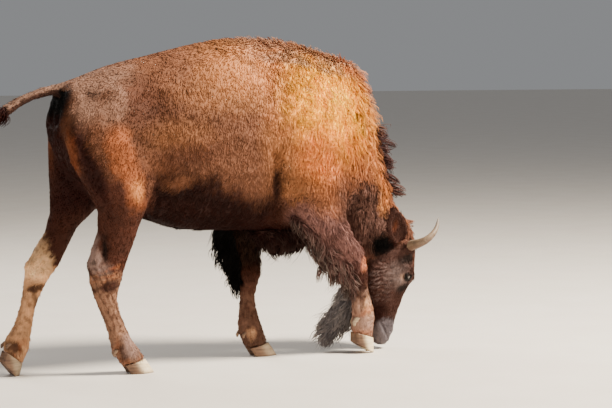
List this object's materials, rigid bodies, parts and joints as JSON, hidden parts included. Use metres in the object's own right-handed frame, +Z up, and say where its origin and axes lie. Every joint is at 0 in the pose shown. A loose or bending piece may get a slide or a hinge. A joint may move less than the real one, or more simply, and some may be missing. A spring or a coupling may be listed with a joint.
{
  "type": "bison",
  "caption": "Life-size still model of a plains bison walking with its head down to graze, with a woolly hump and cape, beard, chaps, upturned horns and raised tail.",
  "frame": {"origin": "on the floor under the middle of the animal's box: halfway from tail end to horn tips, on its middle plane, at the level of the soles", "axes": "+X the way the animal walks, +Y to the animal's left, +Z up"},
  "size_m": [2.3171, 0.583, 1.5406],
  "materials": {
    "body_coat": "woolly hair, golden ochre on the hump and neck and short warm brown to grey-brown on the barrel and rump",
    "head_coat": "short dense dark brown hair with grey lights, greyer bare skin at the muzzle and round the eyes",
    "leg_coat": "short close hair, dark brown above and grey-tan below the knees and hocks",
    "long_hair": "long wavy blackish hair in loose locks",
    "horn": "grey-beige horn, ridged at the base, worn smoother and darker to the tip",
    "hoof": "cream to grey-brown hoof horn with growth rings and dusty worn edges",
    "eye": "wet dark brown eye"
  },
  "bodies": {
    "root": {"hindquarters": "body_coat", "barrel": "body_coat", "forequarters": "body_coat", "neck": "body_coat", "head": "head_coat", "foreleg_right_upper": "leg_coat", "foreleg_right_lower": "leg_coat", "foreleg_right_claw_inner": "hoof", "foreleg_right_dewclaw_inner": "hoof", "foreleg_right_claw_outer": "hoof", "foreleg_right_dewclaw_outer": "hoof", "foreleg_left_upper": "leg_coat", "foreleg_left_lower": "leg_coat", "foreleg_left_claw_inner": "hoof", "foreleg_left_dewclaw_inner": "hoof", "foreleg_left_claw_outer": "hoof", "foreleg_left_dewclaw_outer": "hoof", "hindleg_right_upper": "leg_coat", "hindleg_right_lower": "leg_coat", "hindleg_right_claw_inner": "hoof", "hindleg_right_dewclaw_inner": "hoof", "hindleg_right_claw_outer": "hoof", "hindleg_right_dewclaw_outer": "hoof", "hindleg_left_upper": "leg_coat", "hindleg_left_lower": "leg_coat", "hindleg_left_claw_inner": "hoof", "hindleg_left_dewclaw_inner": "hoof", "hindleg_left_claw_outer": "hoof", "hindleg_left_dewclaw_outer": "hoof", "eye_right": "eye", "horn_right": "horn", "ear_right": "head_coat", "eye_left": "eye", "horn_left": "horn", "ear_left": "head_coat", "tail": "body_coat", "tail_tuft": "long_hair", "chaps_right": "long_hair", "chaps_left": "long_hair", "beard": "long_hair", "brisket_fringe": "long_hair"}
  },
  "joints": []
}
